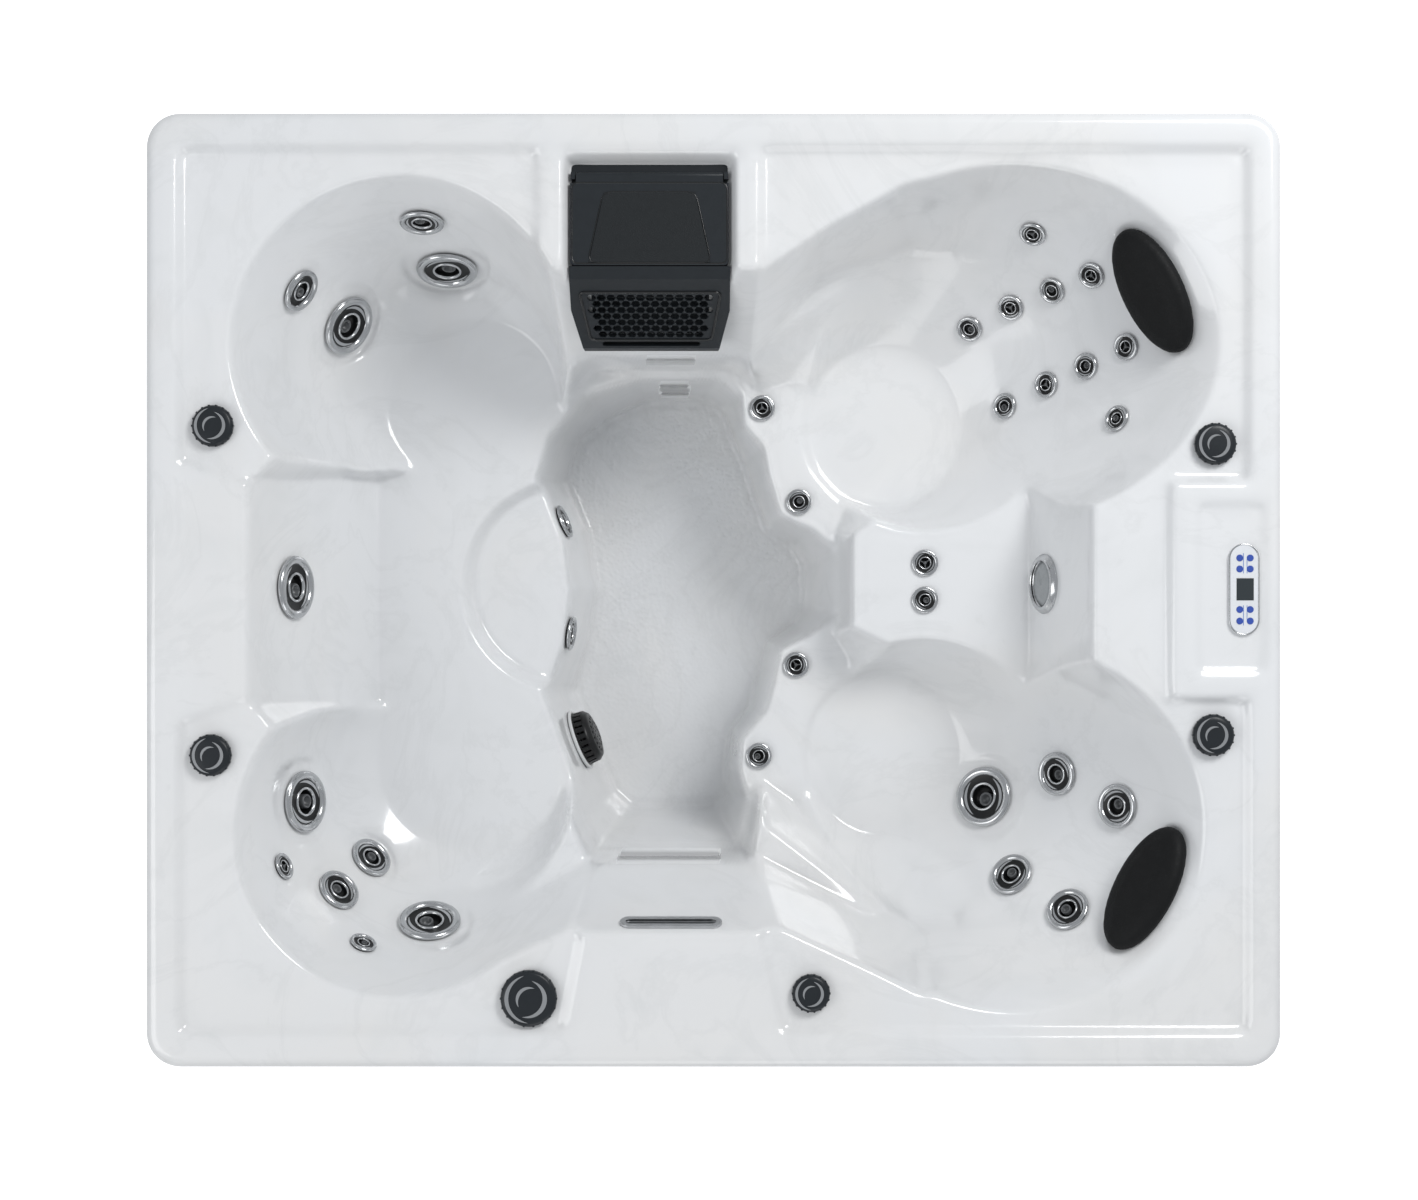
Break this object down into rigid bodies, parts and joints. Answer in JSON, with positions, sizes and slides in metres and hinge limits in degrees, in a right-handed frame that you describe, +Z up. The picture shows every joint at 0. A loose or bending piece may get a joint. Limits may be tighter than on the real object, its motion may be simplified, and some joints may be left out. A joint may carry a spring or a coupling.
{
  "type": "hot tub",
  "caption": "Five-seat hot tub: moulded pearl-white shell with jets, skimmer, pillows and rim controls, on a clad frame with its pump and heater.",
  "frame": {"origin": "centre of the tub's outline, on the ground under the base pan", "axes": "+X to the control-panel side, +Y to the skimmer side, +Z up"},
  "size_m": [2.2, 1.85, 0.9],
  "materials": {
    "pearl_acrylic": "gloss",
    "stainless_jet": "polished",
    "fitting_plastic": "satin",
    "charcoal_plastic": "satin",
    "chrome_trim": "polished",
    "stainless_plate": "brushed",
    "frosted_lens": "gloss",
    "pillow_foam": "matte",
    "panel_white": "gloss",
    "button_blue": "satin",
    "screen_dark": "gloss",
    "cabinet_board": "satin",
    "corner_plastic": "satin",
    "timber": "matte",
    "filter_fabric": "matte",
    "motor_paint": "satin",
    "box_grey": "satin",
    "pipe_white": "satin",
    "valve_brass": "satin"
  },
  "bodies": {
    "tub": {"base_pan": "fitting_plastic", "cabinet_frame": "timber", "cabinet_panels": "cabinet_board", "control_box": "box_grey", "control_panel": "panel_white", "corner_covers": "corner_plastic", "drain_valve": "valve_brass", "filter_cartridge": "filter_fabric", "heater": "stainless_plate", "jet_bodies": "fitting_plastic", "light_bezel": "chrome_trim", "light_lens": "frosted_lens", "panel_screen": "screen_dark", "panel_screws": "stainless_plate", "pillow_lower": "pillow_foam", "pillow_upper": "pillow_foam", "pump_motor": "motor_paint", "pump_wet_end": "fitting_plastic", "shell": "pearl_acrylic", "skimmer_front": "charcoal_plastic", "skimmer_housing": "fitting_plastic", "small_jet_faces": "stainless_jet", "suction_cover": "fitting_plastic", "valve_bodies": "fitting_plastic", "water_pipes": "pipe_white", "waterfall_spout": "stainless_plate"},
    "jet_large_1_body": {"jet_large_1": "stainless_jet"},
    "jet_large_2_body": {"jet_large_2": "stainless_jet"},
    "jet_large_3_body": {"jet_large_3": "stainless_jet"},
    "jet_large_4_body": {"jet_large_4": "stainless_jet"},
    "jet_large_5_body": {"jet_large_5": "stainless_jet"},
    "jet_large_6_body": {"jet_large_6": "stainless_jet"},
    "jet_medium_1_body": {"jet_medium_1": "stainless_jet"},
    "jet_medium_2_body": {"jet_medium_2": "stainless_jet"},
    "jet_medium_3_body": {"jet_medium_3": "stainless_jet"},
    "jet_medium_4_body": {"jet_medium_4": "stainless_jet"},
    "jet_medium_5_body": {"jet_medium_5": "stainless_jet"},
    "jet_medium_6_body": {"jet_medium_6": "stainless_jet"},
    "jet_medium_7_body": {"jet_medium_7": "stainless_jet"},
    "jet_medium_8_body": {"jet_medium_8": "stainless_jet"},
    "jet_wall_1_body": {"jet_wall_1": "stainless_jet"},
    "jet_wall_2_body": {"jet_wall_2": "stainless_jet"},
    "diverter_knob_body": {"diverter_knob": "charcoal_plastic"},
    "air_knob_1_body": {"air_knob_1": "charcoal_plastic"},
    "air_knob_2_body": {"air_knob_2": "charcoal_plastic"},
    "air_knob_3_body": {"air_knob_3": "charcoal_plastic"},
    "air_knob_4_body": {"air_knob_4": "charcoal_plastic"},
    "air_knob_5_body": {"air_knob_5": "charcoal_plastic"},
    "skimmer_lid_body": {"skimmer_lid": "charcoal_plastic"},
    "skimmer_weir_body": {"skimmer_weir": "fitting_plastic"},
    "button_1_body": {"button_1": "button_blue"},
    "button_2_body": {"button_2": "button_blue"},
    "button_3_body": {"button_3": "button_blue"},
    "button_4_body": {"button_4": "button_blue"},
    "button_5_body": {"button_5": "button_blue"},
    "button_6_body": {"button_6": "button_blue"},
    "button_7_body": {"button_7": "button_blue"},
    "button_8_body": {"button_8": "button_blue"},
    "impeller_body": {"pump_impeller": "fitting_plastic"},
    "access_panel_body": {"access_panel": "cabinet_board"}
  },
  "joints": [
    {"name": "jet_large_1_turn", "type": "hinge", "parent": "tub", "child": "jet_large_1_body", "pos_m": [-0.5548, 0.67741, 0.539], "axis": [0.0096, -0.9182, 0.3959], "range_deg": [0, 90]},
    {"name": "jet_large_2_turn", "type": "hinge", "parent": "tub", "child": "jet_large_2_body", "pos_m": [-0.76678, 0.55602, 0.545], "axis": [0.7542, -0.4285, 0.4976], "range_deg": [0, 90]},
    {"name": "jet_large_3_turn", "type": "hinge", "parent": "tub", "child": "jet_large_3_body", "pos_m": [-0.84003, 0.00602, 0.732], "axis": [0.9278, 0, 0.3731], "range_deg": [0, 90]},
    {"name": "jet_large_4_turn", "type": "hinge", "parent": "tub", "child": "jet_large_4_body", "pos_m": [-0.84508, -0.43301, 0.623], "axis": [0.8741, 0.0504, 0.4831], "range_deg": [0, 90]},
    {"name": "jet_large_5_turn", "type": "hinge", "parent": "tub", "child": "jet_large_5_body", "pos_m": [-0.58213, -0.68653, 0.616], "axis": [0.0383, 0.8762, 0.4805], "range_deg": [0, 90]},
    {"name": "jet_large_6_turn", "type": "hinge", "parent": "tub", "child": "jet_large_6_body", "pos_m": [0.57463, -0.43536, 0.488], "axis": [-0.5473, 0.2085, 0.8106], "range_deg": [0, 90]},
    {"name": "jet_medium_1_turn", "type": "hinge", "parent": "tub", "child": "jet_medium_1_body", "pos_m": [-0.58614, 0.74708, 0.713], "axis": [-0.0115, -0.9441, 0.3295], "range_deg": [0, 90]},
    {"name": "jet_medium_2_turn", "type": "hinge", "parent": "tub", "child": "jet_medium_2_body", "pos_m": [-0.83595, 0.60674, 0.71], "axis": [0.7898, -0.4765, 0.3862], "range_deg": [0, 90]},
    {"name": "jet_medium_3_turn", "type": "hinge", "parent": "tub", "child": "jet_medium_3_body", "pos_m": [-0.71971, -0.56287, 0.522], "axis": [0.5949, 0.5887, 0.5474], "range_deg": [0, 90]},
    {"name": "jet_medium_4_turn", "type": "hinge", "parent": "tub", "child": "jet_medium_4_body", "pos_m": [-0.76957, -0.61661, 0.634], "axis": [0.5887, 0.5949, 0.5474], "range_deg": [0, 90]},
    {"name": "jet_medium_5_turn", "type": "hinge", "parent": "tub", "child": "jet_medium_5_body", "pos_m": [0.71117, -0.37701, 0.606], "axis": [-0.6964, -0.0118, 0.7175], "range_deg": [0, 90]},
    {"name": "jet_medium_6_turn", "type": "hinge", "parent": "tub", "child": "jet_medium_6_body", "pos_m": [0.81729, -0.43403, 0.709], "axis": [-0.6869, 0.0433, 0.7255], "range_deg": [0, 90]},
    {"name": "jet_medium_7_turn", "type": "hinge", "parent": "tub", "child": "jet_medium_7_body", "pos_m": [0.61725, -0.58796, 0.601], "axis": [-0.4858, 0.517, 0.7047], "range_deg": [0, 90]},
    {"name": "jet_medium_8_turn", "type": "hinge", "parent": "tub", "child": "jet_medium_8_body", "pos_m": [0.71607, -0.64513, 0.711], "axis": [-0.4738, 0.5315, 0.7022], "range_deg": [0, 90]},
    {"name": "jet_wall_1_turn", "type": "hinge", "parent": "tub", "child": "jet_wall_1_body", "pos_m": [-0.32537, 0.14932, 0.35], "axis": [0.917, 0.3675, 0.1551], "range_deg": [0, 90]},
    {"name": "jet_wall_2_turn", "type": "hinge", "parent": "tub", "child": "jet_wall_2_body", "pos_m": [-0.31057, -0.09156, 0.354], "axis": [0.9815, -0.1222, 0.1475], "range_deg": [0, 90]},
    {"name": "diverter_knob_turn", "type": "hinge", "parent": "tub", "child": "diverter_knob_body", "pos_m": [-0.358, -0.791, 0.878], "axis": [0, 0, 1], "range_deg": [0, 180]},
    {"name": "air_knob_1_turn", "type": "hinge", "parent": "tub", "child": "air_knob_1_body", "pos_m": [-0.97, 0.318, 0.878], "axis": [0, 0, 1], "range_deg": [0, 120]},
    {"name": "air_knob_2_turn", "type": "hinge", "parent": "tub", "child": "air_knob_2_body", "pos_m": [-0.974, -0.32, 0.878], "axis": [0, 0, 1], "range_deg": [0, 120]},
    {"name": "air_knob_3_turn", "type": "hinge", "parent": "tub", "child": "air_knob_3_body", "pos_m": [0.189, -0.781, 0.878], "axis": [0, 0, 1], "range_deg": [0, 120]},
    {"name": "air_knob_4_turn", "type": "hinge", "parent": "tub", "child": "air_knob_4_body", "pos_m": [0.968, -0.281, 0.878], "axis": [0, 0, 1], "range_deg": [0, 120]},
    {"name": "air_knob_5_turn", "type": "hinge", "parent": "tub", "child": "air_knob_5_body", "pos_m": [0.972, 0.283, 0.878], "axis": [0, 0, 1], "range_deg": [0, 120]},
    {"name": "skimmer_lid_hinge", "type": "hinge", "parent": "tub", "child": "skimmer_lid_body", "pos_m": [-0.1245, 0.806, 0.865], "axis": [-1, 0, 0], "range_deg": [0, 80]},
    {"name": "skimmer_weir_hinge", "type": "hinge", "parent": "tub", "child": "skimmer_weir_body", "pos_m": [-0.1245, 0.592, 0.712], "axis": [-1, 0, 0], "range_deg": [0, 55], "stiffness_Nm_per_rad": 0.15, "springref_deg": -11.46},
    {"name": "button_1_press", "type": "slide", "parent": "tub", "child": "button_1_body", "axis": [0, 0, 1], "range_m": [-0.0008, 0], "stiffness_N_per_m": 800, "springref_m": 0.0006},
    {"name": "button_2_press", "type": "slide", "parent": "tub", "child": "button_2_body", "axis": [0, 0, 1], "range_m": [-0.0008, 0], "stiffness_N_per_m": 800, "springref_m": 0.0006},
    {"name": "button_3_press", "type": "slide", "parent": "tub", "child": "button_3_body", "axis": [0, 0, 1], "range_m": [-0.0008, 0], "stiffness_N_per_m": 800, "springref_m": 0.0006},
    {"name": "button_4_press", "type": "slide", "parent": "tub", "child": "button_4_body", "axis": [0, 0, 1], "range_m": [-0.0008, 0], "stiffness_N_per_m": 800, "springref_m": 0.0006},
    {"name": "button_5_press", "type": "slide", "parent": "tub", "child": "button_5_body", "axis": [0, 0, 1], "range_m": [-0.0008, 0], "stiffness_N_per_m": 800, "springref_m": 0.0006},
    {"name": "button_6_press", "type": "slide", "parent": "tub", "child": "button_6_body", "axis": [0, 0, 1], "range_m": [-0.0008, 0], "stiffness_N_per_m": 800, "springref_m": 0.0006},
    {"name": "button_7_press", "type": "slide", "parent": "tub", "child": "button_7_body", "axis": [0, 0, 1], "range_m": [-0.0008, 0], "stiffness_N_per_m": 800, "springref_m": 0.0006},
    {"name": "button_8_press", "type": "slide", "parent": "tub", "child": "button_8_body", "axis": [0, 0, 1], "range_m": [-0.0008, 0], "stiffness_N_per_m": 800, "springref_m": 0.0006},
    {"name": "pump_impeller_spin", "type": "hinge", "parent": "tub", "child": "impeller_body", "pos_m": [0.8, -0.105, 0.15], "axis": [0, 1, 0], "continuous": true},
    {"name": "access_panel_slide", "type": "slide", "parent": "tub", "child": "access_panel_body", "axis": [1, 0, 0], "range_m": [0, 0.4]}
  ]
}
